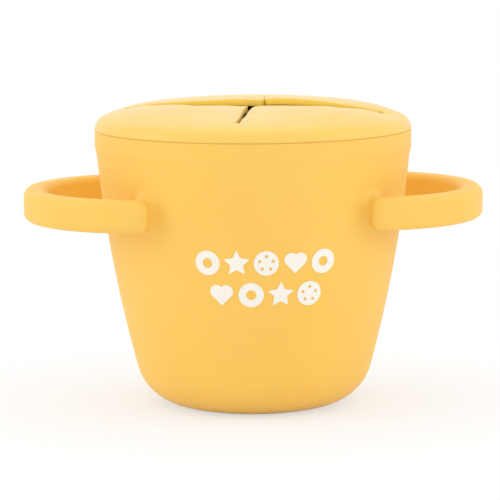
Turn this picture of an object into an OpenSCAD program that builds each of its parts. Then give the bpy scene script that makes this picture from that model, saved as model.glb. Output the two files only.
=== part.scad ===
// Toddler snack cup in soft silicone: a tapered cup with two side loops, and a
// domed push-in lid whose middle is cut crosswise into four springy flaps.
// Millimetres. +Z up, X runs through the two loops, the print faces -Y.
// The origin is the centre of the base, on the surface that the cup stands on.

/* [Cup] */
// Diameter across the rim
rim_d = 89; // [84:1:96]
// Height of the cup from the table to the rim
cup_h = 77.8; // [70:0.1:90]
// Thickness of the side wall
wall_t = 2.6; // [2:0.1:3]
// Thickness of the floor
floor_t = 3.6; // [2.6:0.1:5]
// Height of the upright band below the rim
band_h = 4.5; // [3:0.5:7]
// How far the wall draws in below the band
band_step = 0.55; // [0.3:0.05:1]
// Height over which the wall draws in
ease_h = 3; // [2:0.5:5]
// Lean of the wall at its top, in degrees from upright
lean_top = 5.7; // [4:0.1:8]
// Lean of the wall at its foot, in degrees from upright
lean_base = 14.9; // [13:0.1:19]
// Radius of the rounded bottom edge
base_r = 14.2; // [11:0.1:18]
// Radius of the shallow hollow under the base
hollow_r = 12.5; // [8:0.5:14]
// Depth of the shallow hollow under the base
hollow_depth = 0.8; // [0.4:0.1:1.2]

/* [Mouth] */
// Bore of the mouth that the lid plugs into
mouth_d = 81.2; // [79.5:0.1:82.4]
// Height of the groove's middle below the rim
groove_drop = 4.2; // [3.5:0.1:5]
// Height of the groove at the bore
groove_w = 2.6; // [2:0.1:3]
// Depth of the groove
groove_depth = 0.5; // [0.3:0.1:0.7]
// Bevel on the edges that meet at the seam
seam_bevel = 0.4; // [0.2:0.1:0.6]

/* [Handles] */
// Distance from the cup's axis to the outside of a loop
loop_reach = 64.6; // [60:0.1:72]
// Depth across a loop, front to back
loop_depth = 71.8; // [66:0.2:74]
// Length of the straight stretch at the outside of a loop
loop_flat = 3; // [1:1:12]
// Thickness of the loop's band, seen from above
loop_t = 6.4; // [5:0.1:8]
// Height of the loop's band
loop_h = 9; // [7:0.5:12]
// Height of the band's middle above the table
loop_z = 57.2; // [40:0.2:60]
// Radius on the band's long edges
loop_edge_r = 2.2; // [1:0.1:2.4]
// Distance from the middle of the cup to a loop's two ends, along X
loop_end_x = 29.2; // [27:0.1:30]
// Radius that fills the corner between a loop and the wall
root_fillet = 4.2; // [2:0.1:6]

/* [Lid] */
// Radius of the dome
dome_r = 275; // [200:5:360]
// Radius of the shoulder round the dome
shoulder_r = 42; // [34:0.5:46]
// Radius of the lid's outer edge
lid_edge_r = 4; // [3:0.1:5]
// Slope where the shoulder turns into the outer edge, in degrees
edge_slope = 23.5; // [21:0.5:27]
// Thickness of the domed sheet
sheet_t = 2; // [1.6:0.1:2.4]
// Depth of the skirt that plugs into the mouth
skirt_h = 7; // [6:0.5:9]
// Thickness of the skirt
skirt_t = 2; // [1.6:0.1:2.2]
// Gap round the skirt
skirt_gap = 0.5; // [0.4:0.05:0.7]
// Gap round the skirt's bead
bead_gap = 0.2; // [0.15:0.05:0.3]
// Height of the bead at the skirt
bead_w = 1.6; // [1.2:0.1:1.8]

/* [Flaps] */
// Length of each arm of the cross cut
slit_len = 36; // [31:0.2:36.4]
// Width of the cut
slit_w = 1; // [0.6:0.1:1.2]
// Radius of the hole that ends each cut
slit_end_r = 0.8; // [0.6:0.1:1.2]
// Turn of the cross, in degrees clockwise from above
cross_turn = 9.4; // [0:0.1:12]
// Radius on the tip of each flap
tip_r = 1.8; // [1:0.1:3]
// Distance from the ends of the cuts in to the line that a flap bends along
bend_inset = 1; // [0.6:0.1:1.6]
// Shortening of a flap's root at each end of that line
root_trim = 1.6; // [1.4:0.1:2.2]
// Gap between a flap's root and the lid
root_gap = 0.3; // [0.25:0.05:0.4]
// Rest droop of the back left flap, in degrees
droop_back_left = 1.5; // [0:0.5:8]
// Rest droop of the front left flap, in degrees
droop_front_left = 6; // [0:0.5:8]
// Rest droop of the front right flap, in degrees
droop_front_right = 5; // [0:0.5:8]

/* [Print] */
// Thickness of the printed ink
ink_t = 0.2; // [0.1:0.05:0.4]
// Size across one printed snack
snack_d = 6.8; // [5:0.2:8]
// Spacing of the snacks in a row, measured round the wall
snack_pitch = 8; // [7:0.2:9]
// Height of the upper row above the table
upper_row_z = 45.2; // [42:0.2:48]
// Height of the lower row above the table
lower_row_z = 36.4; // [32:0.2:38]
// Turn of the print towards the right-hand loop, in degrees
print_turn = 1.8; // [0:0.1:8]

/* [Hidden] */
$fn = 96;

silicone = [0.98, 0.77, 0.33];
lid_tone = [0.99, 0.83, 0.48];
white_ink = [1, 0.99, 0.96];

corner_steps = 8;  // straight pieces that stand for the bottom edge's arc
wall_steps = 12;   // and for the wall's long arc
dome_steps = 8;    // for the dome, and for the lid's shoulder
edge_steps = 6;    // and for small rounded edges
over = 1;          // how far a cutter stands past what it cuts
root_spare = 0.05; // how far a flap's round root stands past the sheet's faces

function arc(centre, r, from, to, steps) =
    [for (i = [0 : steps]) let (a = from + (to - from) * i / steps) centre + r * [cos(a), sin(a)]];
function reversed(list) = [for (i = [len(list) - 1 : -1 : 0]) list[i]];

// ---- Cup wall: a long arc that leans more towards the foot ----
rim_r = rim_d / 2;
wall_top = [rim_r - band_step, cup_h - band_h - ease_h];
wall_foot_z = base_r * (1 - sin(lean_base));
wall_arc_r = (wall_top.y - wall_foot_z) / (sin(lean_base) - sin(lean_top));
wall_c = wall_top + wall_arc_r * [-cos(lean_top), sin(lean_top)];
base_c = wall_c + (wall_arc_r - base_r) * [cos(lean_base), -sin(lean_base)];
function wall_r_at(z) = wall_c.x + sqrt(pow(wall_arc_r, 2) - pow(wall_c.y - z, 2));

ease = [for (i = [1 : edge_steps]) let (t = i / edge_steps)
    wall_top + [band_step * (1 - cos(180 * t)) / 2, ease_h * t]];
outer_wall = concat(
    arc(base_c, base_r, -90, -lean_base, corner_steps),
    [for (p = arc(wall_c, wall_arc_r, -lean_base, -lean_top, wall_steps)) if (p.y > wall_foot_z + 0.001) p],
    ease,
    [[rim_r, cup_h - seam_bevel], [rim_r - seam_bevel, cup_h]]);

mouth_r = mouth_d / 2;
inner_arc_r = wall_arc_r - wall_t;
inner_corner_r = (wall_c.y - inner_arc_r * sin(lean_base) - floor_t) / (1 - sin(lean_base));
inner_corner_c = wall_c + (inner_arc_r - inner_corner_r) * [cos(lean_base), -sin(lean_base)];
mouth_lean = max(lean_top, acos(min(1, (mouth_r - wall_c.x) / inner_arc_r)));
inner_wall = concat(
    arc(inner_corner_c, inner_corner_r, -90, -lean_base, corner_steps),
    [for (i = [1 : wall_steps]) let (a = lean_base + (mouth_lean - lean_base) * i / wall_steps)
        wall_c + inner_arc_r * [cos(a), -sin(a)]]);
groove_z = cup_h - groove_drop;
groove = [
    [mouth_r, groove_z - groove_w / 2],
    [mouth_r + groove_depth, groove_z - groove_w / 2 + groove_depth],
    [mouth_r + groove_depth, groove_z + groove_w / 2 - groove_depth],
    [mouth_r, groove_z + groove_w / 2]];

module wall_solid() {
    rotate_extrude() polygon(concat([[0, 0]], outer_wall, [[0, cup_h]]));
}

module cup() {
    underside = [[0, hollow_depth], [hollow_r, hollow_depth], [hollow_r + hollow_depth, 0]];
    mouth_edge = [[mouth_r, cup_h - seam_bevel], [mouth_r + seam_bevel, cup_h]];
    inside = concat([[0, floor_t]], inner_wall, groove, mouth_edge);
    color(silicone)
        rotate_extrude() polygon(concat(underside, outer_wall, reversed(inside)));
}

// ---- Handles: a rounded band bent into a loop, cut to the wall it grows from ----
bar_y = (loop_depth - loop_t) / 2;
bend_r = (loop_depth - loop_flat) / 2;
bend_c = [loop_reach - bend_r, loop_flat / 2];

// the band's section, seen along the band, with its middle on the origin
module band_section() {
    square([loop_t - 2 * loop_edge_r, loop_h], center = true);
    square([loop_t, loop_h - 2 * loop_edge_r], center = true);
    for (x = [-1, 1], y = [-1, 1])
        translate([x * (loop_t / 2 - loop_edge_r), y * (loop_h / 2 - loop_edge_r)]) circle(loop_edge_r);
}

// the corner between the wall and the band's inside, filled up to an arc that runs into both
module root_corner() {
    wall_r = wall_r_at(loop_z);
    inside_r = bend_r - loop_t;
    from_wall = wall_r + root_fillet;
    from_bend = inside_r - root_fillet;
    reach = norm(bend_c);
    turn = atan2(bend_c.y, bend_c.x)
        + acos((pow(from_wall, 2) + pow(reach, 2) - pow(from_bend, 2)) / (2 * from_wall * reach));
    middle = from_wall * [cos(turn), sin(turn)];
    on_wall = middle * (wall_r - over) / from_wall;
    on_bend = bend_c + (middle - bend_c) * (inside_r + over / 2) / from_bend;
    linear_extrude(loop_h - loop_edge_r, center = true) difference() {
        polygon([[loop_end_x, bar_y], on_wall, middle, on_bend]);
        translate(middle) circle(root_fillet);
    }
}

// half of the loop on the +X side: its end on the wall, and a quarter bend
module half_loop() {
    translate([loop_end_x, bar_y, 0]) rotate([90, 0, 90])
        linear_extrude(bend_c.x - loop_end_x) band_section();
    root_corner();
    translate([bend_c.x, bend_c.y, 0]) {
        rotate_extrude(angle = 90) translate([bend_r - loop_t / 2, 0]) band_section();
        translate([bend_r - loop_t / 2, 0, 0]) rotate([90, 0, 0]) linear_extrude(bend_c.y) band_section();
    }
}

module handle() {
    color(silicone) difference() {
        translate([0, 0, loop_z]) {
            half_loop();
            mirror([0, 1, 0]) half_loop();
        }
        wall_solid();
    }
}

module handle_right() {
    handle();
}

module handle_left() {
    mirror([1, 0, 0]) handle();
}

// ---- Lid: dome, shoulder and outer edge are three arcs that run into each other ----
lid_edge_c = [rim_r - lid_edge_r, cup_h];
shoulder_c = lid_edge_c + (lid_edge_r - shoulder_r) * [sin(edge_slope), cos(edge_slope)];
dome_slope = asin(shoulder_c.x / (dome_r - shoulder_r));
dome_c_z = shoulder_c.y - (dome_r - shoulder_r) * cos(dome_slope);

// height of the lid's sheet at a distance from the axis, at a depth below its top face
function sheet_z(r, depth = 0) = r <= (dome_r - depth) * sin(dome_slope)
    ? dome_c_z + sqrt(pow(dome_r - depth, 2) - pow(r, 2))
    : shoulder_c.y + sqrt(pow(shoulder_r - depth, 2) - pow(r - shoulder_c.x, 2));

skirt_out_r = mouth_r - skirt_gap;
skirt_in_r = skirt_out_r - skirt_t;
bead_out_r = mouth_r - bead_gap;
bead_depth = bead_out_r - skirt_out_r;

// the sheet's top face out to r, from the axis
function sheet_top(r) = [for (i = [0 : dome_steps]) let (x = r * i / dome_steps) [x, sheet_z(x)]];
// and its underside
function sheet_under(r) =
    [for (i = [0 : dome_steps]) let (x = r * i / dome_steps) [x, sheet_z(x, sheet_t)]];

module lid_solid() {
    shoulder_gap = 1;  // degrees between the ends of two arcs that run into each other
    edge_gap = 8;
    dome_end = [0, dome_c_z] + dome_r * [sin(dome_slope), cos(dome_slope)];
    outside = concat(
        sheet_top(dome_end.x),
        arc(shoulder_c, shoulder_r, 90 - dome_slope - shoulder_gap, 90 - edge_slope, dome_steps),
        arc(lid_edge_c, lid_edge_r, 90 - edge_slope - edge_gap, asin(seam_bevel / lid_edge_r), edge_steps),
        [[rim_r - seam_bevel, cup_h]]);
    skirt = [
        [skirt_out_r, cup_h],
        [skirt_out_r, groove_z + bead_w / 2],
        [bead_out_r, groove_z + bead_w / 2 - bead_depth],
        [bead_out_r, groove_z - bead_w / 2 + bead_depth],
        [skirt_out_r, groove_z - bead_w / 2],
        [skirt_out_r, cup_h - skirt_h + seam_bevel],
        [skirt_out_r - seam_bevel, cup_h - skirt_h],
        [skirt_in_r, cup_h - skirt_h]];
    rotate_extrude() polygon(concat(outside, skirt, reversed(sheet_under(skirt_in_r))));
}

// ---- Flaps: each is the sheet between two cuts, and bends along a line near their ends ----
bend_u = slit_len * cos(45) - bend_inset;
root_v = bend_u - root_trim;
root_end_r = sqrt(pow(bend_u, 2) + pow(root_v, 2));
bend_z = (sheet_z(bend_u) + sheet_z(root_end_r) - sheet_t) / 2;
root_r = (sheet_t + sheet_z(bend_u) - sheet_z(root_end_r)) / 2 + root_spare;
cutter_h = 4 * skirt_h;

function flap_turn(i) = 45 + 90 * i - cross_turn;

// a round bar along a flap's bending line
module bend_line(r, half_length) {
    translate([bend_u, 0, bend_z]) rotate([90, 0, 0]) cylinder(r = r, h = 2 * half_length, center = true);
}

module lid_cap() {
    color(lid_tone) difference() {
        lid_solid();
        translate([0, 0, cup_h]) {
            for (i = [0, 1]) rotate(flap_turn(i)) {
                cube([2 * bend_u, 2 * (root_v + root_gap), cutter_h], center = true);
                rotate(45) cube([2 * slit_len, slit_w, cutter_h], center = true);
            }
            for (i = [0 : 3]) rotate(flap_turn(i) + 45)
                translate([slit_len, 0, 0]) cylinder(r = slit_end_r, h = cutter_h, center = true);
        }
        for (i = [0 : 3]) rotate(flap_turn(i)) bend_line(root_r + root_gap, root_v + root_gap);
    }
}

module flap(i, droop) {
    side = slit_w * cos(45);
    tip_c = [side + tip_r / cos(45), 0];
    outline = concat(
        arc(tip_c, tip_r, 135, 225, edge_steps),
        [[root_v + side, -root_v], [bend_u, -root_v], [bend_u, root_v], [root_v + side, root_v]]);
    color(lid_tone) rotate(flap_turn(i))
        translate([bend_u, 0, bend_z]) rotate([0, -droop, 0]) translate([-bend_u, 0, -bend_z])
            intersection() {
                rotate_extrude() polygon(concat(sheet_top(slit_len), reversed(sheet_under(slit_len))));
                union() {
                    translate([0, 0, cup_h - over]) linear_extrude(cutter_h) polygon(outline);
                    bend_line(root_r, root_v);
                }
            }
}

module flap_back_right() {
    flap(0, 0);
}

module flap_back_left() {
    flap(1, droop_back_left);
}

module flap_front_left() {
    flap(2, droop_front_left);
}

module flap_front_right() {
    flap(3, droop_front_right);
}

// ---- Print: two staggered rows of small snacks in white ink ----
module ring_snack() {
    difference() {
        circle(d = snack_d);
        circle(d = 0.4 * snack_d);
    }
}

module star_snack() {
    points = 5;
    polygon([for (i = [0 : 2 * points - 1]) let (a = 90 + 180 * i / points)
        snack_d * (i % 2 == 0 ? 0.54 : 0.27) * [cos(a), sin(a)]]);
}

module biscuit_snack() {
    holes = 5;
    difference() {
        circle(d = snack_d);
        for (i = [1 : holes]) rotate(90 + 360 * i / holes)
            translate([0.28 * snack_d, 0]) circle(d = 0.13 * snack_d);
    }
}

module heart_snack() {
    lobe = 0.27 * snack_d;
    translate([0, -0.06 * snack_d]) {
        for (x = [-1, 1]) translate([x * lobe * cos(45), lobe * cos(45)]) circle(lobe);
        rotate(45) square(2 * lobe, center = true);
    }
}

module snack(kind) {
    if (kind == 0) ring_snack();
    if (kind == 1) star_snack();
    if (kind == 2) biscuit_snack();
    if (kind == 3) heart_snack();
}

// one row of snacks pressed on the wall, centred on the print
module snack_row(kinds, z) {
    step = snack_pitch / wall_r_at(z) * 180 / PI;
    for (i = [0 : len(kinds) - 1])
        rotate(print_turn + step * (i - (len(kinds) - 1) / 2)) translate([0, 0, z]) rotate([90, 0, 0])
            linear_extrude(rim_d) snack(kinds[i]);
}

module front_print() {
    ink_face = [for (p = outer_wall) if (p.y > base_r && p.y < wall_top.y) p];
    color(white_ink) intersection() {
        rotate_extrude() polygon(concat(ink_face, reversed([for (p = ink_face) p + [ink_t, 0]])));
        union() {
            snack_row([0, 1, 2, 3, 0], upper_row_z);
            snack_row([3, 0, 1, 2], lower_row_z);
        }
    }
}

cup();
handle_left();
handle_right();
lid_cap();
flap_back_right();
flap_back_left();
flap_front_left();
flap_front_right();
front_print();
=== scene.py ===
import math

import bmesh
import bpy
import numpy as np
from mathutils import Matrix, Vector


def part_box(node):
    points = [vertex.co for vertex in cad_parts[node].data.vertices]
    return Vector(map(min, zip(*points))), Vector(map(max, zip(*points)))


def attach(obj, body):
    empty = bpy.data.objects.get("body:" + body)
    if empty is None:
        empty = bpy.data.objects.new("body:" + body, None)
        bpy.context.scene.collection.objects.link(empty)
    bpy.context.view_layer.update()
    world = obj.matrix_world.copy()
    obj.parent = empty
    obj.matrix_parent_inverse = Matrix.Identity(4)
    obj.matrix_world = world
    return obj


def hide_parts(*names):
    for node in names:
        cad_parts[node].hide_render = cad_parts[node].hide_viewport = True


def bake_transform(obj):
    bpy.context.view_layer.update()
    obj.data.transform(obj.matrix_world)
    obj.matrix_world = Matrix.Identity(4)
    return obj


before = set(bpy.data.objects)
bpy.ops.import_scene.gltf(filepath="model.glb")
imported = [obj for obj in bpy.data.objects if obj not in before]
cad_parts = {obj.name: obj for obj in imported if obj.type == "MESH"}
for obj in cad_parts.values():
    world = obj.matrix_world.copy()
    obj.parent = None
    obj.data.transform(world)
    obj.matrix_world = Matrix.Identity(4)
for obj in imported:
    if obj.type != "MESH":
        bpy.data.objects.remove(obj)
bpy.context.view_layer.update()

# Toddler snack cup in soft silicone. Metres, +Z up, the print faces -Y, the loops point along X.

sharpFrom = 35                # degrees: a mesh edge that turns less than this is shaded smooth


def arcPoints(centre, radius, fromDeg, toDeg, steps):
    turns = np.radians(np.linspace(fromDeg, toDeg, steps + 1))
    return [(centre[0] + radius * math.cos(a), centre[1] + radius * math.sin(a)) for a in turns]


def linePoints(start, end, steps):    # the points after start, up to and with end
    way = np.array(end) - np.array(start)
    return [tuple(np.array(start) + way * i / steps) for i in range(1, steps + 1)]


def smoothStep(t):
    t = np.clip(t, 0, 1)
    return t * t * (3 - 2 * t)


def makePiece(name, points, faces, material):
    mesh = bpy.data.meshes.new(name)
    mesh.from_pydata([tuple(map(float, p)) for p in points], [], faces)
    build = bmesh.new()
    build.from_mesh(mesh)
    loose = [v for v in build.verts if not v.link_faces]
    bmesh.ops.delete(build, geom=loose, context="VERTS")
    bmesh.ops.recalc_face_normals(build, faces=build.faces)
    build.to_mesh(mesh)
    build.free()
    mesh.polygons.foreach_set("use_smooth", [True] * len(mesh.polygons))
    mesh.set_sharp_from_angle(angle=math.radians(sharpFrom))
    mesh.materials.append(material)
    piece = bpy.data.objects.new(name, mesh)
    bpy.context.scene.collection.objects.link(piece)
    return piece


def stripFaces(rowA, rowB, closed=False):    # the faces between two rows of as many points
    faces = []
    for i in range(len(rowA) if closed else len(rowA) - 1):
        after = (i + 1) % len(rowA)
        faces.append((rowA[i], rowA[after], rowB[after], rowB[i]))
    return faces


def addNode(tree, kind, **settings):
    node = tree.nodes.new(kind)
    for key, value in settings.items():
        setattr(node, key, value)
    return node


def calculated(tree, operation, *values, clamp=False):    # each value is a socket or a number
    node = addNode(tree, "ShaderNodeMath", operation=operation, use_clamp=clamp)
    for socket, value in zip(node.inputs, values):
        if isinstance(value, bpy.types.NodeSocket):
            tree.links.new(value, socket)
        else:
            socket.default_value = value
    return node.outputs[0]


colorSockets = {"first": 6, "second": 7, "result": 2}    # of a Mix node that mixes colours


def mixedColor(tree, share, first, second):
    mix = addNode(tree, "ShaderNodeMix", data_type="RGBA")
    tree.links.new(share, mix.inputs["Factor"])
    tree.links.new(first, mix.inputs[colorSockets["first"]])
    tree.links.new(second, mix.inputs[colorSockets["second"]])
    return mix.outputs[colorSockets["result"]]


siliconeInputs = {
    "Tone": (1.0, 0.7, 0.2, 1.0),
    "Deep Tone": (0.9, 0.6, 0.15, 1.0),
    # painted glow: a brighter, warmer tone for upright cut faces, standing in for light let through the
    # silicone
    "Painted Glow Tone": (1.0, 0.75, 0.12, 1.0),
    "Painted Glow Share": 0.0,
    "Cloud Size": 0.02,
    "Grain Size": 0.0003,
    "Roughness": 0.5,
    "Roughness Swing": 0.1,
}
siliconeOutputs = {
    "Color": "NodeSocketColor",
    "Surface Roughness": "NodeSocketFloat",
    "Height": "NodeSocketFloat",
}
cloudDetail = 3.0
grainDetail = 2.0
paintedGlowFacing = (0.2, 0.45)       # upward part of the normal: the painted glow shows in full, and has gone


# cast silicone: a cloudy tone, a fine matte grain, and where asked for a painted glow on the upright
# faces of a cut: a brighter, warmer tone that stands in for the light their thin edges let through
def makeSiliconeGroup():
    group = bpy.data.node_groups.new("CastSilicone", "ShaderNodeTree")
    for name, value in siliconeInputs.items():
        kind = "NodeSocketColor" if isinstance(value, tuple) else "NodeSocketFloat"
        socket = group.interface.new_socket(name=name, in_out="INPUT", socket_type=kind)
        socket.default_value = value
    for name, kind in siliconeOutputs.items():
        group.interface.new_socket(name=name, in_out="OUTPUT", socket_type=kind)
    inputs = addNode(group, "NodeGroupInput")
    outputs = addNode(group, "NodeGroupOutput")
    place = addNode(group, "ShaderNodeTexCoord")

    def noiseAt(size, detail):
        noise = addNode(group, "ShaderNodeTexNoise")
        noise.inputs["Detail"].default_value = detail
        group.links.new(place.outputs["Object"], noise.inputs["Vector"])
        group.links.new(calculated(group, "DIVIDE", 1.0, inputs.outputs[size]), noise.inputs["Scale"])
        return noise.outputs["Fac"]

    cloud = noiseAt("Cloud Size", cloudDetail)
    grain = noiseAt("Grain Size", grainDetail)
    cloudy = mixedColor(group, cloud, inputs.outputs["Tone"], inputs.outputs["Deep Tone"])

    facing = addNode(group, "ShaderNodeSeparateXYZ")
    group.links.new(place.outputs["Normal"], facing.inputs[0])
    upright = addNode(group, "ShaderNodeMapRange")
    ends = {"From Min": paintedGlowFacing[0], "From Max": paintedGlowFacing[1], "To Min": 1.0, "To Max": 0.0}
    for key, value in ends.items():
        upright.inputs[key].default_value = value
    group.links.new(calculated(group, "ABSOLUTE", facing.outputs["Z"]), upright.inputs["Value"])
    # the painted glow goes on upright faces only, standing in for light let through thin silicone
    share = calculated(group, "MULTIPLY", upright.outputs["Result"], inputs.outputs["Painted Glow Share"])
    color = mixedColor(group, share, cloudy, inputs.outputs["Painted Glow Tone"])

    centred = calculated(group, "SUBTRACT", grain, 0.5)
    rough = calculated(group, "MULTIPLY_ADD", centred, inputs.outputs["Roughness Swing"],
                       inputs.outputs["Roughness"], clamp=True)
    group.links.new(color, outputs.inputs["Color"])
    group.links.new(rough, outputs.inputs["Surface Roughness"])
    group.links.new(grain, outputs.inputs["Height"])
    return group


siliconeGroup = makeSiliconeGroup()


def siliconeMaterial(name, look):    # an input that the look leaves out keeps the group's own value
    material = bpy.data.materials.new(name)
    material.use_nodes = True
    tree = material.node_tree
    shader = tree.nodes["Principled BSDF"]
    finish = addNode(tree, "ShaderNodeGroup", node_tree=siliconeGroup)
    for key in siliconeInputs:
        if key in look:
            finish.inputs[key].default_value = look[key]
    bump = addNode(tree, "ShaderNodeBump")
    bump.inputs["Distance"].default_value = look["Grain Depth"]
    tree.links.new(finish.outputs["Height"], bump.inputs["Height"])
    tree.links.new(finish.outputs["Color"], shader.inputs["Base Color"])
    tree.links.new(finish.outputs["Surface Roughness"], shader.inputs["Roughness"])
    tree.links.new(bump.outputs["Normal"], shader.inputs["Normal"])
    shader.inputs["IOR"].default_value = look["IOR"]
    shader.inputs["Sheen Weight"].default_value = look["Sheen"]
    shader.inputs["Sheen Roughness"].default_value = look["Sheen Roughness"]
    return material


bodyLook = {
    "Tone": (0.95, 0.60, 0.117, 1.0),
    "Deep Tone": (0.925, 0.548, 0.095, 1.0),
    "Cloud Size": 0.03,
    "Grain Size": 0.00035,
    "Grain Depth": 0.00001,
    "Roughness": 0.55,
    "Roughness Swing": 0.12,
    "IOR": 1.41,
    "Sheen": 0.08,
    "Sheen Roughness": 0.4,
}
# the lid's tones are a little paler than the body's: painted pale light, standing in for the light that
# falls on the lid's top
lidLook = {
    **bodyLook,
    "Tone": (0.92, 0.625, 0.135, 1.0),
    "Deep Tone": (0.89, 0.575, 0.11, 1.0),
    "Roughness": 0.4,
    "Sheen": 0.25,
}
# the flaps' upright cut faces get the painted glow of light let through
flapLook = {**lidLook, "Painted Glow Tone": (1.0, 0.70, 0.10, 1.0), "Painted Glow Share": 1.0}
inkLook = {
    "Tone": (0.93, 0.90, 0.84, 1.0),
    "Deep Tone": (0.90, 0.86, 0.78, 1.0),
    "Cloud Size": 0.004,
    "Grain Size": 0.0002,
    "Grain Depth": 0.00001,
    "Roughness": 0.6,
    "Roughness Swing": 0.15,
    "IOR": 1.45,
    "Sheen": 0.0,
    "Sheen Roughness": 0.5,
}

bodySilicone = siliconeMaterial("BodySilicone", bodyLook)
lidSilicone = siliconeMaterial("LidSilicone", lidLook)
flapSilicone = siliconeMaterial("FlapSilicone", flapLook)
printInk = siliconeMaterial("PrintInk", inkLook)
print("materials made")


# the cup and its two loops are one moulding
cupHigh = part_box("cup")[1]
loopLow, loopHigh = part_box("handle_right")

cup = {
    "rimRadius": cupHigh.x,
    "height": cupHigh.z,
    "wall": 0.0026,
    "floor": 0.0036,
    "bandHeight": 0.0045,     # upright band below the rim
    "bandStep": 0.00055,      # how far the wall draws in below it
    "easeHeight": 0.003,      # and over which height
    "leanTop": 5.7,           # degrees from upright
    "leanFoot": 14.9,
    "footRadius": 0.0142,
    "hollowRadius": 0.0125,   # shallow hollow under the base
    "hollowDepth": 0.0008,
    "mouthRadius": 0.0406,
    "grooveDrop": 0.0042,     # groove for the lid's bead
    "grooveWidth": 0.0026,
    "grooveDepth": 0.0005,
    "edgeRound": 0.0004,
    "columns": 144,           # of points round the cup
    "hollowSteps": 4,         # of the outline, stretch by stretch, from the base to the floor inside
    "baseSteps": 2,
    "footSteps": 14,
    "lowerWallSteps": 14,
    "upperWallSteps": 2,
    "easeSteps": 8,
    "bandSteps": 3,
    "edgeSteps": 4,
    "lipSteps": 2,
    "insideSteps": 24,
    "cornerSteps": 12,
    "floorSteps": 4,
}
loop = {
    "reach": loopHigh.x,
    "halfDepth": 0.0359,
    "height": (loopLow.z + loopHigh.z) / 2,
    "bandHeight": 0.009,
    "band": 0.0064,
    "flat": 0.003,            # straight stretch at the outside
    "edgeRound": 0.0022,
    "endX": 0.0302,           # where the band ends on the wall
    "endRound": 0.0019,
    "fillet": 0.0034,         # where the loop grows out of the wall
    "cornerFillet": 0.0052,   # and in the corner inside the loop, from above
    "cornerReach": (0.031, 0.034),    # the small fillet turns into the large one over these x
    "cornerSteps": (5, 3, 5, 3),      # per half corner: underside, outside, top, inside
    "flatSteps": 4,
    "rowSpacing": 0.0014,
}
rootPatch = {                 # the part of the wall that is remeshed round each root
    "fromColumn": 9,
    "toColumn": 23,
    "reach": 0.010,           # above and below the loop's middle
    "rows": 10,
    "innerTurn": 31,          # degrees round the wall, at the inside of the root
    "outerTurn": 46,          # and at its end
    "wallRings": 9,
    "bandRings": 24,
    "clearStation": 0.033,    # first full section of the band, from the loop's middle
    "relaxPasses": 60,
    "pullPasses": 4,          # steps towards the surface, in each relaxing pass and at the end
    "lastPullPasses": 8,
    "probe": 1e-6,            # to each side of a point, where the surface's slope is measured
    "leastSlopeSquared": 0.1,    # keeps a step short where the slope fades
}

sinTop, cosTop = math.sin(math.radians(cup["leanTop"])), math.cos(math.radians(cup["leanTop"]))
sinFoot, cosFoot = math.sin(math.radians(cup["leanFoot"])), math.cos(math.radians(cup["leanFoot"]))
wallTop = (cup["rimRadius"] - cup["bandStep"], cup["height"] - cup["bandHeight"] - cup["easeHeight"])
wallFootHeight = cup["footRadius"] * (1 - sinFoot)
wallArc = (wallTop[1] - wallFootHeight) / (sinFoot - sinTop)
wallCentre = (wallTop[0] - wallArc * cosTop, wallTop[1] + wallArc * sinTop)
footCentre = (wallCentre[0] + (wallArc - cup["footRadius"]) * cosFoot, cup["footRadius"])
patchLow = loop["height"] - rootPatch["reach"]
patchHigh = loop["height"] + rootPatch["reach"]


def wallRadius(z):
    return wallCentre[0] + np.sqrt(wallArc ** 2 - (wallCentre[1] - z) ** 2)


def onWall(turn, z):
    return np.array((wallRadius(z) * math.cos(turn), wallRadius(z) * math.sin(turn), z))


# the outline from the middle of the base, round the rim, to the middle of the floor inside,
# and the number of the first row of the root patches
def cupOutline():
    hollow, depth, edge = cup["hollowRadius"], cup["hollowDepth"], cup["edgeRound"]
    rim, top, mouth = cup["rimRadius"], cup["height"], cup["mouthRadius"]
    rows = [(0.0, depth)]
    rows += linePoints(rows[-1], (hollow, depth), cup["hollowSteps"])
    rows += linePoints(rows[-1], (hollow + depth, 0.0), 1)
    rows += linePoints(rows[-1], (footCentre[0], 0.0), cup["baseSteps"])
    rows += arcPoints(footCentre, cup["footRadius"], -90, -cup["leanFoot"], cup["footSteps"])[1:]
    lowerWall = np.linspace(wallFootHeight, patchLow, cup["lowerWallSteps"] + 1)[1:-1]
    rows += [(wallRadius(z), z) for z in lowerWall]
    firstPatchRow = len(rows)
    patch = np.linspace(patchLow, patchHigh, rootPatch["rows"] + 1)
    upperWall = np.linspace(patchHigh, wallTop[1], cup["upperWallSteps"] + 1)[1:]
    rows += [(wallRadius(z), z) for z in (*patch, *upperWall)]
    for share in np.linspace(0, 1, cup["easeSteps"] + 1)[1:]:
        swing = cup["bandStep"] * (1 - math.cos(math.pi * share)) / 2
        rows.append((wallTop[0] + swing, wallTop[1] + cup["easeHeight"] * share))
    rows += linePoints(rows[-1], (rim, top - edge), cup["bandSteps"])
    rows += arcPoints((rim - edge, top - edge), edge, 0, 90, cup["edgeSteps"])[1:]
    rows += linePoints(rows[-1], (mouth + edge, top), cup["lipSteps"])
    rows += arcPoints((mouth + edge, top - edge), edge, 90, 180, cup["edgeSteps"])[1:]
    groove, half, deep = top - cup["grooveDrop"], cup["grooveWidth"] / 2, cup["grooveDepth"]
    rows += [(mouth, groove + half), (mouth + deep, groove + half - deep)]
    rows += [(mouth + deep, groove - half + deep), (mouth, groove - half)]
    innerArc = wallArc - cup["wall"]
    cornerRadius = (wallCentre[1] - innerArc * sinFoot - cup["floor"]) / (1 - sinFoot)
    cornerCentre = (wallCentre[0] + (innerArc - cornerRadius) * cosFoot, cup["floor"] + cornerRadius)
    mouthLean = math.degrees(math.acos((mouth - wallCentre[0]) / innerArc))
    rows += arcPoints(wallCentre, innerArc, -mouthLean, -cup["leanFoot"], cup["insideSteps"])
    rows += arcPoints(cornerCentre, cornerRadius, -cup["leanFoot"], -90, cup["cornerSteps"])[1:]
    rows += linePoints(rows[-1], (0.0, cup["floor"]), cup["floorSteps"])
    return rows, firstPatchRow


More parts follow.
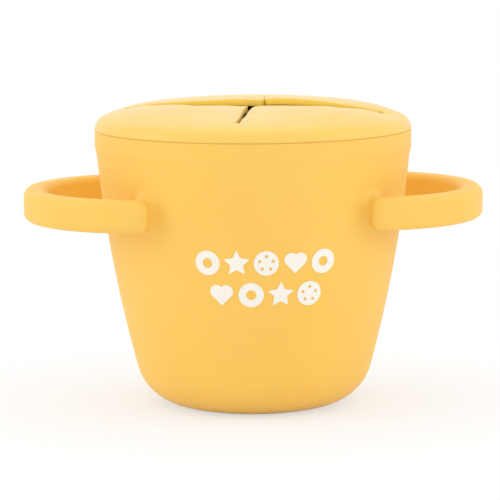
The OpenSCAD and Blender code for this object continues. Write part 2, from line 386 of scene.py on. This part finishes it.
loopBend = loop["halfDepth"] - loop["band"] / 2 - loop["flat"] / 2   # radius of the bends' middle line
loopBendX = loop["reach"] - loop["band"] / 2 - loopBend
loopBarY = loop["halfDepth"] - loop["band"] / 2
loopBarStart = loop["flat"] / 2 + loopBend * math.pi / 2    # along the band to its straight end


# middle of the band and its outward direction, at a distance along it from the outermost point
def loopStation(along):
    straight = loop["flat"] / 2
    if along <= straight:
        return np.array((loopBendX + loopBend, along)), np.array((1.0, 0.0))
    if along > loopBarStart:
        return np.array((loopBendX + loopBarStart - along, loopBarY)), np.array((0.0, 1.0))
    turn = (along - straight) / loopBend
    out = np.array((math.cos(turn), math.sin(turn)))
    return np.array((loopBendX, straight)) + loopBend * out, out


def loopPoint(along, across, up):
    middle, out = loopStation(along)
    return np.array((*(middle + across * out), loop["height"] + up))


# the band's section, as (outwards, up), one side after another between the middles of its corners
def bandSection():
    edge = loop["edgeRound"]
    wide, high = loop["band"] / 2 - edge, loop["bandHeight"] / 2 - edge
    corners = [(-wide, -high), (wide, -high), (wide, high), (-wide, high)]
    section = []
    for side, steps in enumerate(loop["cornerSteps"]):
        turn = -135 + 90 * side
        start = arcPoints(corners[side], edge, turn, turn + 45, steps)
        end = arcPoints(corners[(side + 1) % 4], edge, turn + 45, turn + 90, steps)
        section += start + linePoints(start[-1], end[0], loop["flatSteps"])[:-1] + end[:-1]
    return section


def roundUnion(a, b, radius):    # the union of two distances, with a fillet between them
    fillet = np.hypot(np.maximum(radius - a, 0), np.maximum(radius - b, 0))
    return np.maximum(radius, np.minimum(a, b)) - fillet


def roundCut(a, b, radius):    # the common part of two distances, with its edge rounded
    a, b = a + radius, b + radius
    return np.hypot(np.maximum(a, 0), np.maximum(b, 0)) + np.minimum(np.maximum(a, b), 0) - radius


# distance from the union of wall and loop with round fillets between them, for x and y over 0
def mouldingDistance(p):
    x, y, z = p[:, 0], p[:, 1], p[:, 2]
    wall = np.hypot(np.hypot(x, y) - wallCentre[0], z - wallCentre[1]) - wallArc
    onBend = np.hypot(x - loopBendX, y - loop["flat"] / 2) - loopBend
    across = np.abs(np.where(x > loopBendX, onBend, y - loopBarY)) - loop["band"] / 2
    fromAbove = roundCut(across, loop["endX"] - x, loop["endRound"])
    start, end = loop["cornerReach"]
    cornerShare = smoothStep((x - start) / (end - start))
    corner = loop["fillet"] + (loop["cornerFillet"] - loop["fillet"]) * cornerShare
    insideWall = np.hypot(x, y) - wallRadius(z) + loop["fillet"]
    fromAbove = roundUnion(insideWall, fromAbove, corner)
    up = np.abs(z - loop["height"]) - loop["bandHeight"] / 2
    return roundUnion(wall, roundCut(fromAbove, up, loop["edgeRound"]), loop["fillet"])


def ontoMoulding(p, passes):    # pulls points onto the surface
    probe = rootPatch["probe"]
    for _ in range(passes):
        rises = [mouldingDistance(p + probe * axis) - mouldingDistance(p - probe * axis)
                 for axis in np.eye(3)]
        slope = np.stack(rises, axis=1) / (2 * probe)
        slopeSquared = (slope ** 2).sum(axis=1, keepdims=True)
        slopeSquared = np.maximum(slopeSquared, rootPatch["leastSlopeSquared"])
        p = p - mouldingDistance(p)[:, None] * slope / slopeSquared
    return p


# rings of points from the edge of the wall patch to the first full section of the band
def rootRings(section):
    first, last = rootPatch["fromColumn"], rootPatch["toColumn"]
    turns = np.arange(first, last + 1) * 2 * math.pi / cup["columns"]
    heights = np.linspace(patchLow, patchHigh, rootPatch["rows"] + 1)
    border = [(turn, heights[0]) for turn in turns[:-1]]
    border += [(turns[-1], z) for z in heights[:-1]]
    border += [(turn, heights[-1]) for turn in turns[:0:-1]]
    border += [(turns[0], z) for z in heights[:0:-1]]
    crease = []               # the root's rough outline on the wall: turn, height, share of the way out
    for across, up in section:
        out = across / loop["band"] + 0.5
        turn = rootPatch["innerTurn"] + (rootPatch["outerTurn"] - rootPatch["innerTurn"]) * out
        crease.append((math.radians(turn), loop["height"] + up, out))

    rings = []
    for share in np.linspace(0, 1, rootPatch["wallRings"] + 1):
        rings.append([onWall(turn + (toTurn - turn) * share, z + (toZ - z) * share)
                      for (turn, z), (toTurn, toZ, _) in zip(border, crease)])
    clear = rootPatch["clearStation"]
    endStation = loopBarStart + loopBendX - loop["endX"]
    for share in np.linspace(0, 1, rootPatch["bandRings"] + 1)[1:]:
        station = endStation + (clear - endStation) * share
        ring = []
        for (across, up), (turn, z, out) in zip(section, crease):
            straight = onWall(turn, z) * (1 - share) + loopPoint(clear, across, up) * share
            ring.append(straight * (1 - out) + loopPoint(station, across, up) * out)
        rings.append(ring)

    rings = np.array(rings)
    inner = rings[1:-1]
    shape = inner.shape
    for _ in range(rootPatch["relaxPasses"]):
        rings[1:-1] = ontoMoulding(inner.reshape(-1, 3), rootPatch["pullPasses"]).reshape(shape)
        around = np.roll(rings[1:-1], 1, axis=1) + np.roll(rings[1:-1], -1, axis=1)
        inner = (around + rings[:-2] + rings[2:]) / 4
    rings[1:-1] = ontoMoulding(inner.reshape(-1, 3), rootPatch["lastPullPasses"]).reshape(shape)
    return rings


def makeCupMoulding():
    rows, firstPatchRow = cupOutline()
    columns = cup["columns"]
    turns = np.arange(columns) * 2 * math.pi / columns
    points = [(0.0, 0.0, rows[0][1])]
    for radius, z in rows[1:-1]:
        points += [(radius * math.cos(a), radius * math.sin(a), z) for a in turns]
    points.append((0.0, 0.0, rows[-1][1]))

    def at(row, column):
        return 1 + (row - 1) * columns + column % columns

    # column numbers of the four roots, mirrored from the one with x and y over 0
    half = columns // 2
    mirrors = {
        (1, 1): lambda c: c,
        (-1, 1): lambda c: half - c,
        (-1, -1): lambda c: half + c,
        (1, -1): lambda c: -c,
    }
    first, last = rootPatch["fromColumn"], rootPatch["toColumn"]
    top = firstPatchRow + rootPatch["rows"]
    inPatch = set()
    for place in mirrors.values():
        inPatch.update(range(*sorted((place(first) % columns, place(last) % columns))))

    faces = []
    for column in range(columns):
        after = column + 1
        faces.append((0, at(1, column), at(1, after)))
        faces.append((len(points) - 1, at(len(rows) - 2, column), at(len(rows) - 2, after)))
        for row in range(1, len(rows) - 2):
            if not (firstPatchRow <= row < top and column in inPatch):
                faces.append((at(row, column), at(row, after), at(row + 1, after), at(row + 1, column)))

    section = bandSection()
    rings = rootRings(section)
    border = [(firstPatchRow, c) for c in range(first, last)]
    border += [(r, last) for r in range(firstPatchRow, top)]
    border += [(top, c) for c in range(last, first, -1)]
    border += [(r, first) for r in range(top, firstPatchRow, -1)]
    bandRows = math.ceil(rootPatch["clearStation"] / loop["rowSpacing"])
    for sideX in (1, -1):
        middleRow = None
        for sideY in (1, -1):
            previous = [at(row, mirrors[(sideX, sideY)](column)) for row, column in border]
            layers = list(rings[1:])
            for i in range(1, bandRows + 1):
                along = rootPatch["clearStation"] * (1 - i / bandRows)
                layers.append([loopPoint(along, across, up) for across, up in section])
            for number, layer in enumerate(layers):
                isMiddle = number == len(layers) - 1
                if isMiddle and middleRow:
                    current = middleRow
                else:
                    current = list(range(len(points), len(points) + len(layer)))
                    points += [(sideX * p[0], sideY * p[1], p[2]) for p in layer]
                if isMiddle:
                    middleRow = current
                faces += stripFaces(previous, current, closed=True)
                previous = current
    moulding = makePiece("cupMoulding", points, faces, bodySilicone)
    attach(moulding, "cup")
    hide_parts("cup", "handle_left", "handle_right")
    return moulding


cupMoulding = makeCupMoulding()
print("cup moulding made:", len(cupMoulding.data.polygons), "faces")


# the lid is one domed sheet on a plug skirt, cut crosswise in the middle
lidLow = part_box("lid_cap")[0]

lid = {
    "rimRadius": cup["rimRadius"],
    "seat": cup["height"],
    "skirtFoot": lidLow.z,
    "domeRadius": 0.275,
    "shoulderRadius": 0.042,
    "edgeRadius": 0.004,
    "edgeSlope": 23.5,        # degrees, where shoulder and outer edge meet
    "sheet": 0.002,
    "skirt": 0.0020,
    "skirtGap": 0.0005,
    "beadGap": 0.0002,
    "beadWidth": 0.0016,
    "beadHeight": cup["height"] - cup["grooveDrop"],
    "edgeRound": 0.0004,
    "edgeTurn": 10,           # degrees from upright, where the roundings above the seam end
    "rings": 12,              # of points, from the cut middle out to the skirt
    "skirtSteps": 4,          # of the outline, stretch by stretch, from the skirt to the shoulder
    "edgeSteps": 4,
    "seatSteps": 3,
    "rollSteps": 10,
    "shoulderSteps": 5,
}
flap = {
    "slitLength": 0.036,
    "slitWidth": 0.001,
    "crossTurn": 9.4,         # degrees
    "tipRadius": 0.0018,
    "cutRound": 0.0003,       # rounding on the cut edges
    "bendInset": 0.001,       # bending line, inside the ends of the cuts
    "bendZone": 0.006,        # over which a flap turns
    "hang": {"flap_front_left": 0.0018, "flap_front_right": 0.002},    # of the tips
    "hangStart": 0.010,       # hanging and sliding start softly over this distance from the root
    "slide": {                # of the tips, to the right, each over a reach from the middle
        "flap_back_right": [(0.0027, 0.024)],
        "flap_back_left": [(0.0026, 0.024), (0.0011, 0.050)],
        "flap_front_left": [(-0.0007, 0.040)],
        "flap_front_right": [(0.0002, 0.030)],
    },
    "chordSteps": 28,         # across a flap
    "endRadius": 0.0008,      # of the round end of a cut
    "endSteps": 10,
    "sideSteps": 26,
    "tipSteps": 5,
    "roundSteps": 4,
}
# shallow dents where the soft sheet has settled round the ends of the cuts: place and spread are
# along and across the cut that runs from left to right, from the middle of the lid
dents = [
    {"place": (0.0345, -0.004), "spread": (0.013, 0.007), "depth": 0.0015},
    {"place": (-0.0335, -0.004), "spread": (0.009, 0.006), "depth": 0.00048},
    {"place": (-0.016, 0.0), "spread": (0.014, 0.006), "depth": 0.0004},
    {"place": (-0.002, 0.001), "spread": (0.0035, 0.005), "depth": 0.0004},
    {"place": (0.0, -0.029), "spread": (0.016, 0.010), "depth": 0.00125},
]
dentEdge = (0.0375, 0.0435)   # the dents fade out between these radii

edgeCentre = (lid["rimRadius"] - lid["edgeRadius"], lid["seat"])
edgeSin, edgeCos = math.sin(math.radians(lid["edgeSlope"])), math.cos(math.radians(lid["edgeSlope"]))
shoulderCentre = (edgeCentre[0] + (lid["edgeRadius"] - lid["shoulderRadius"]) * edgeSin,
                  edgeCentre[1] + (lid["edgeRadius"] - lid["shoulderRadius"]) * edgeCos)
domeSlope = math.asin(shoulderCentre[0] / (lid["domeRadius"] - lid["shoulderRadius"]))
domeCentreZ = shoulderCentre[1] - (lid["domeRadius"] - lid["shoulderRadius"]) * math.cos(domeSlope)
skirtOut = cup["mouthRadius"] - lid["skirtGap"]
skirtIn = skirtOut - lid["skirt"]

# a flap's frame has its tip near the origin, u towards the middle of its root and v across
halfSlit = flap["slitWidth"] / 2
slitEnd = flap["slitLength"] / math.sqrt(2)             # both coordinates of a cut's end
endNeck = math.sqrt(flap["endRadius"] ** 2 - halfSlit ** 2)    # from a cut's round end to its sides
rootU = slitEnd + (halfSlit - endNeck) / math.sqrt(2)   # where a flap runs into the lid
sideShift = flap["slitWidth"] / math.sqrt(2)            # a flap's side is v = u - sideShift


def flapTurn(number):
    return math.radians(45 + 90 * number - flap["crossTurn"])


def turned(u, v, turn):
    return u * math.cos(turn) - v * math.sin(turn), u * math.sin(turn) + v * math.cos(turn)


def sheetHeight(radius, depth=0.0):
    dome, shoulder = lid["domeRadius"] - depth, lid["shoulderRadius"] - depth
    if radius <= dome * math.sin(domeSlope):
        return domeCentreZ + math.sqrt(dome ** 2 - radius ** 2)
    return shoulderCentre[1] + math.sqrt(shoulder ** 2 - (radius - shoulderCentre[0]) ** 2)


def dentDepth(x, y):
    along, across = turned(x, y, math.radians(flap["crossTurn"]))
    total = 0.0
    for dent in dents:
        a = (along - dent["place"][0]) / dent["spread"][0]
        b = (across - dent["place"][1]) / dent["spread"][1]
        total += dent["depth"] * math.exp(-a * a - b * b)
    return total * smoothStep((dentEdge[1] - math.hypot(x, y)) / (dentEdge[1] - dentEdge[0]))


# levels down a cut face: (inset of the edge, share of the thickness, drop)
def cutLevels():
    r, steps = flap["cutRound"], flap["roundSteps"]
    turns = [math.pi / 2 * i / steps for i in range(steps + 1)]
    upper = [(r * (1 - math.sin(a)), 0.0, r * (1 - math.cos(a))) for a in turns]
    return upper + [(inset, 1.0, -drop) for inset, _, drop in reversed(upper)]


def cutHeight(radius, level):
    _, share, drop = level
    top, under = sheetHeight(radius), sheetHeight(radius, lid["sheet"])
    return top + (under - top) * share - drop


def acrossTurns(u, halfV):    # directions of the points across a flap, from one side to the other
    steps = flap["chordSteps"]
    return [math.atan2(halfV, u) * (2 * i / steps - 1) for i in range(steps + 1)]


# one quarter of the opening's edge in a flap's frame, for an inset: the root line, then a cut's end
def openingEdge(inset):
    halfLine = rootU - sideShift - inset * math.sqrt(2)
    edge = [(rootU, rootU * math.tan(a)) for a in acrossTurns(rootU, halfLine)]
    reach = flap["endRadius"] + inset
    halfArc = math.pi - math.asin(halfSlit / flap["endRadius"])
    for i in range(1, flap["endSteps"]):
        a = math.pi / 4 + halfArc * (2 * i / flap["endSteps"] - 1)
        edge.append((slitEnd + reach * math.cos(a), slitEnd + reach * math.sin(a)))
    return edge


def lidSkirtOutline():    # (radius, height) from the sheet's underside round to the lid's shoulder
    seat, edge, rim = lid["seat"], lid["edgeRound"], lid["rimRadius"]
    foot, bead, half = lid["skirtFoot"], lid["beadHeight"], lid["beadWidth"] / 2
    turn, slope = lid["edgeTurn"], 90 - lid["edgeSlope"]
    beadOut = cup["mouthRadius"] - lid["beadGap"]
    deep = beadOut - skirtOut
    under = (skirtIn, sheetHeight(skirtIn, lid["sheet"]))
    rows = linePoints(under, (skirtIn, foot + edge), lid["skirtSteps"])
    rows += arcPoints((skirtIn + edge, foot + edge), edge, 180, 270, lid["edgeSteps"])[1:]
    rows += arcPoints((skirtOut - edge, foot + edge), edge, -90, 0, lid["edgeSteps"])
    rows += [(skirtOut, bead - half), (beadOut, bead - half + deep), (beadOut, bead + half - deep)]
    rows += [(skirtOut, bead + half), (skirtOut, seat)]
    rows += linePoints(rows[-1], (rim - edge, seat), lid["seatSteps"])
    rows += arcPoints((rim - edge, seat + edge), edge, -90, -turn, lid["edgeSteps"])[1:]
    rows += arcPoints(edgeCentre, lid["edgeRadius"], turn, slope, lid["rollSteps"])
    inner = math.degrees(math.acos((skirtIn - shoulderCentre[0]) / lid["shoulderRadius"]))
    rows += arcPoints(shoulderCentre, lid["shoulderRadius"], slope, inner, lid["shoulderSteps"])[1:]
    return rows


def makeLidRing():
    levels = cutLevels()
    perQuarter = flap["chordSteps"] + flap["endSteps"]
    columns = 4 * perQuarter
    cutRows = []
    for level in levels:
        row = []
        for number in range(4):
            for u, v in openingEdge(level[0]):
                x, y = turned(u, v, flapTurn(number))
                row.append((x, y, cutHeight(math.hypot(x, y), level) - dentDepth(x, y)))
        cutRows.append(row)
    outStep = 2 * math.pi / columns
    outTurns = [flapTurn(number) + outStep * (i - flap["chordSteps"] / 2)
                for number in range(4) for i in range(perQuarter)]

    def sheetRow(edgeRow, share, depth):
        row = []
        for (x, y, _), turn in zip(edgeRow, outTurns):
            px = x + (skirtIn * math.cos(turn) - x) * share
            py = y + (skirtIn * math.sin(turn) - y) * share
            row.append((px, py, sheetHeight(math.hypot(px, py), depth) - dentDepth(px, py)))
        return row

    shares = [i / lid["rings"] for i in range(1, lid["rings"] + 1)]
    rows = cutRows + [sheetRow(cutRows[-1], share, lid["sheet"]) for share in shares]
    for radius, z in lidSkirtOutline()[:-1]:
        onTop = z > lid["seat"] + lid["edgeRound"] and radius > skirtIn
        ringRow = [(radius * math.cos(a), radius * math.sin(a)) for a in outTurns]
        rows.append([(x, y, z - dentDepth(x, y) if onTop else z) for x, y in ringRow])
    rows += [sheetRow(cutRows[0], share, 0.0) for share in reversed(shares)]

    points = [p for row in rows for p in row]
    numbers = [range(i * columns, (i + 1) * columns) for i in range(len(rows))]
    faces = []
    for i in range(len(rows)):
        faces += stripFaces(numbers[i], numbers[(i + 1) % len(rows)], closed=True)
    ring = makePiece("lidRing", points, faces, lidSilicone)
    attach(ring, "lid")
    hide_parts("lid_cap")
    return ring


# half-outline of a flap from tip to root, for an inset
def flapSide(inset):
    tipU = sideShift + flap["tipRadius"] * math.sqrt(2)
    side = arcPoints((tipU, 0.0), flap["tipRadius"] - inset, 180, 135, flap["tipSteps"])
    end = (rootU, rootU - sideShift - inset * math.sqrt(2))
    return side + linePoints(side[-1], end, flap["sideSteps"])


# a point of a settled flap, whose tip hangs a little and has slid sideways
def flapPoint(name, turn, u, v, level):
    x, y = turned(u, v, turn)
    radius = math.hypot(x, y)
    start = smoothStep((rootU - u) / flap["hangStart"])
    hang = flap["hang"].get(name, 0.0) * (1 - (u / rootU) ** 2) * start
    slide = sum(amount * smoothStep(1 - radius / reach) for amount, reach in flap["slide"][name]) * start
    slideX, slideY = turned(slide, 0.0, -math.radians(flap["crossTurn"]))
    return x + slideX, y + slideY, cutHeight(radius, level) - dentDepth(x, y) - hang


def makeFlap(name, number):
    levels = cutLevels()
    turn = flapTurn(number)
    points = []
    faces = []

    def addPoint(u, v, level):
        points.append(flapPoint(name, turn, u, v, level))
        return len(points) - 1

    def addRow(u, halfV, level, left, right):    # across the flap, between two points of its sides
        middle = [addPoint(u, u * math.tan(a), level) for a in acrossTurns(u, halfV)[1:-1]]
        return [left, *middle, right]

    # down the cut faces, all round the flap but for its root
    sides = []                # per level: the left and the right side, each from tip to root
    for level in levels:
        side = flapSide(level[0])
        right = [addPoint(u, v, level) for u, v in side]
        left = [addPoint(u, -v, level) for u, v in side[1:]]
        sides.append((left, right))
    for upper, lower in zip(sides[:-1], sides[1:]):
        faces += stripFaces(upper[0][::-1] + upper[1], lower[0][::-1] + lower[1])

    # the top and the underside, row by row from the tip
    rootRows = []
    for level, (left, right) in ((levels[0], sides[0]), (levels[-1], sides[-1])):
        previous = None
        for i, (u, halfV) in enumerate(flapSide(level[0])[1:]):
            row = addRow(u, halfV, level, left[i], right[i + 1])
            if previous is None:
                faces += [(right[0], row[j], row[j + 1]) for j in range(flap["chordSteps"])]
            else:
                faces += stripFaces(previous, row)
            previous = row
        rootRows.append(previous)

    # the root's end face, closed level by level like the lid's edge that it meets
    previous = rootRows[0]
    for level, (left, right) in zip(levels[1:-1], sides[1:-1]):
        row = addRow(rootU, flapSide(level[0])[-1][1], level, left[-1], right[-1])
        faces += stripFaces(previous, row)
        previous = row
    faces += stripFaces(previous, rootRows[1])

    piece = makePiece(name.replace("flap_", "flap_sheet_"), points, faces, flapSilicone)
    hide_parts(name)
    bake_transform(piece)
    return piece


lidRing = makeLidRing()
flapNames = ["flap_back_right", "flap_back_left", "flap_front_left", "flap_front_right"]
flapPieces = [makeFlap(name, number) for number, name in enumerate(flapNames)]
print("lid made:", len(lidRing.data.polygons), "faces, and", len(flapPieces), "flaps")


# the print keeps the shapes of its node, and gets its ink here
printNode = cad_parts["front_print"]
if not printNode.material_slots:
    printNode.data.materials.append(printInk)
for slot in printNode.material_slots:
    slot.material = printInk
print("print inked")


stage = {
    "floorSize": 12.0,
    "floorTone": (0.94, 0.94, 0.94, 1.0),
    "shadeReach": (0.05, 0.16),    # from the middle: the shadow shows in full, and has gone
    "shadeShare": 0.4,             # share of the floor's own shading under the object
    "worldLight": 0.88,
}


def lightPathMask(tree):    # 1 for what is seen directly, mirrored or through something clear
    path = addNode(tree, "ShaderNodeLightPath").outputs
    seen = calculated(tree, "MAXIMUM", path["Is Camera Ray"], path["Is Glossy Ray"])
    return calculated(tree, "MAXIMUM", seen, path["Is Transmission Ray"])


def floorMaterial():
    material = bpy.data.materials.new("PaleFloor")
    material.use_nodes = True
    tree = material.node_tree
    tree.nodes.clear()
    matte = addNode(tree, "ShaderNodeBsdfDiffuse")
    matte.inputs["Color"].default_value = stage["floorTone"]
    white = addNode(tree, "ShaderNodeEmission")
    place = addNode(tree, "ShaderNodeTexCoord")
    distance = addNode(tree, "ShaderNodeVectorMath", operation="LENGTH")
    tree.links.new(place.outputs["Object"], distance.inputs[0])
    fade = addNode(tree, "ShaderNodeMapRange", interpolation_type="SMOOTHSTEP")
    tree.links.new(distance.outputs["Value"], fade.inputs["Value"])
    fade.inputs["From Min"].default_value = stage["shadeReach"][0]
    fade.inputs["From Max"].default_value = stage["shadeReach"][1]
    fade.inputs["To Min"].default_value = 1 - stage["shadeShare"]
    mix = addNode(tree, "ShaderNodeMixShader")
    whiteShare = calculated(tree, "MULTIPLY", lightPathMask(tree), fade.outputs["Result"])
    tree.links.new(whiteShare, mix.inputs["Fac"])
    tree.links.new(matte.outputs[0], mix.inputs[1])
    tree.links.new(white.outputs[0], mix.inputs[2])
    out = addNode(tree, "ShaderNodeOutputMaterial")
    tree.links.new(mix.outputs[0], out.inputs["Surface"])
    return material


def makeFloor():
    half = stage["floorSize"] / 2
    corners = [(-half, -half, 0), (half, -half, 0), (half, half, 0), (-half, half, 0)]
    mesh = bpy.data.meshes.new("floor")
    mesh.from_pydata(corners, [], [(0, 1, 2, 3)])
    mesh.materials.append(floorMaterial())
    floor = bpy.data.objects.new("floor", mesh)
    bpy.context.scene.collection.objects.link(floor)


def makeWorld():
    world = bpy.data.worlds.new("StudioWhite")
    bpy.context.scene.world = world
    world.use_nodes = True
    tree = world.node_tree
    tree.nodes.clear()
    soft = addNode(tree, "ShaderNodeBackground")
    soft.inputs["Strength"].default_value = stage["worldLight"]
    white = addNode(tree, "ShaderNodeBackground")
    for node in (soft, white):
        node.inputs["Color"].default_value = (1.0, 1.0, 1.0, 1.0)
    mix = addNode(tree, "ShaderNodeMixShader")
    tree.links.new(lightPathMask(tree), mix.inputs["Fac"])
    tree.links.new(soft.outputs[0], mix.inputs[1])
    tree.links.new(white.outputs[0], mix.inputs[2])
    out = addNode(tree, "ShaderNodeOutputWorld")
    tree.links.new(mix.outputs[0], out.inputs["Surface"])


lamps = {
    "topSoft": {"place": (0.0, 0.10, 0.95), "aim": (0.0, 0.0, 0.06), "size": 0.9, "watts": 1.4},
    "frontRight": {"place": (0.75, -0.75, 0.45), "aim": (0.0, 0.0, 0.04), "size": 0.7, "watts": 1.0},
    "sideLeft": {"place": (-1.0, -0.15, 0.35), "aim": (0.0, 0.0, 0.04), "size": 0.7, "watts": 1.9},
    "sideRight": {"place": (1.0, -0.15, 0.35), "aim": (0.0, 0.0, 0.04), "size": 0.7, "watts": 1.0},
}


def makeLamps():
    for name, lamp in lamps.items():
        light = bpy.data.lights.new(name, "AREA")
        light.shape = "DISK"
        light.size = lamp["size"]
        light.energy = lamp["watts"]
        holder = bpy.data.objects.new(name, light)
        holder.location = lamp["place"]
        view = Vector(lamp["aim"]) - Vector(lamp["place"])
        holder.rotation_euler = view.to_track_quat("-Z", "Y").to_euler()
        bpy.context.scene.collection.objects.link(holder)


camera = {
    "place": (-0.00104, -0.761, 0.1509),      # before it is turned round the cup
    "turn": -2.9,             # degrees
    "pitchDown": 8.06,
    "roll": -0.356,
    "lens": 195.4,            # millimetres
    "sensor": 36.0,
    "clip": (0.01, 100.0),
}


def makeCamera():
    data = bpy.data.cameras.new("camera")
    data.lens = camera["lens"]
    data.sensor_width = camera["sensor"]
    data.clip_start, data.clip_end = camera["clip"]
    holder = bpy.data.objects.new("camera", data)
    turn = Matrix.Rotation(math.radians(camera["turn"]), 4, "Z")
    tilt = Matrix.Rotation(math.radians(90 - camera["pitchDown"]), 4, "X")
    roll = Matrix.Rotation(math.radians(camera["roll"]), 4, "Z")
    holder.matrix_world = turn @ Matrix.Translation(camera["place"]) @ tilt @ roll
    bpy.context.scene.collection.objects.link(holder)
    bpy.context.scene.camera = holder


makeFloor()
makeWorld()
makeLamps()
makeCamera()
bpy.context.scene.view_settings.view_transform = "Standard"
print("stage, lamps and camera made")
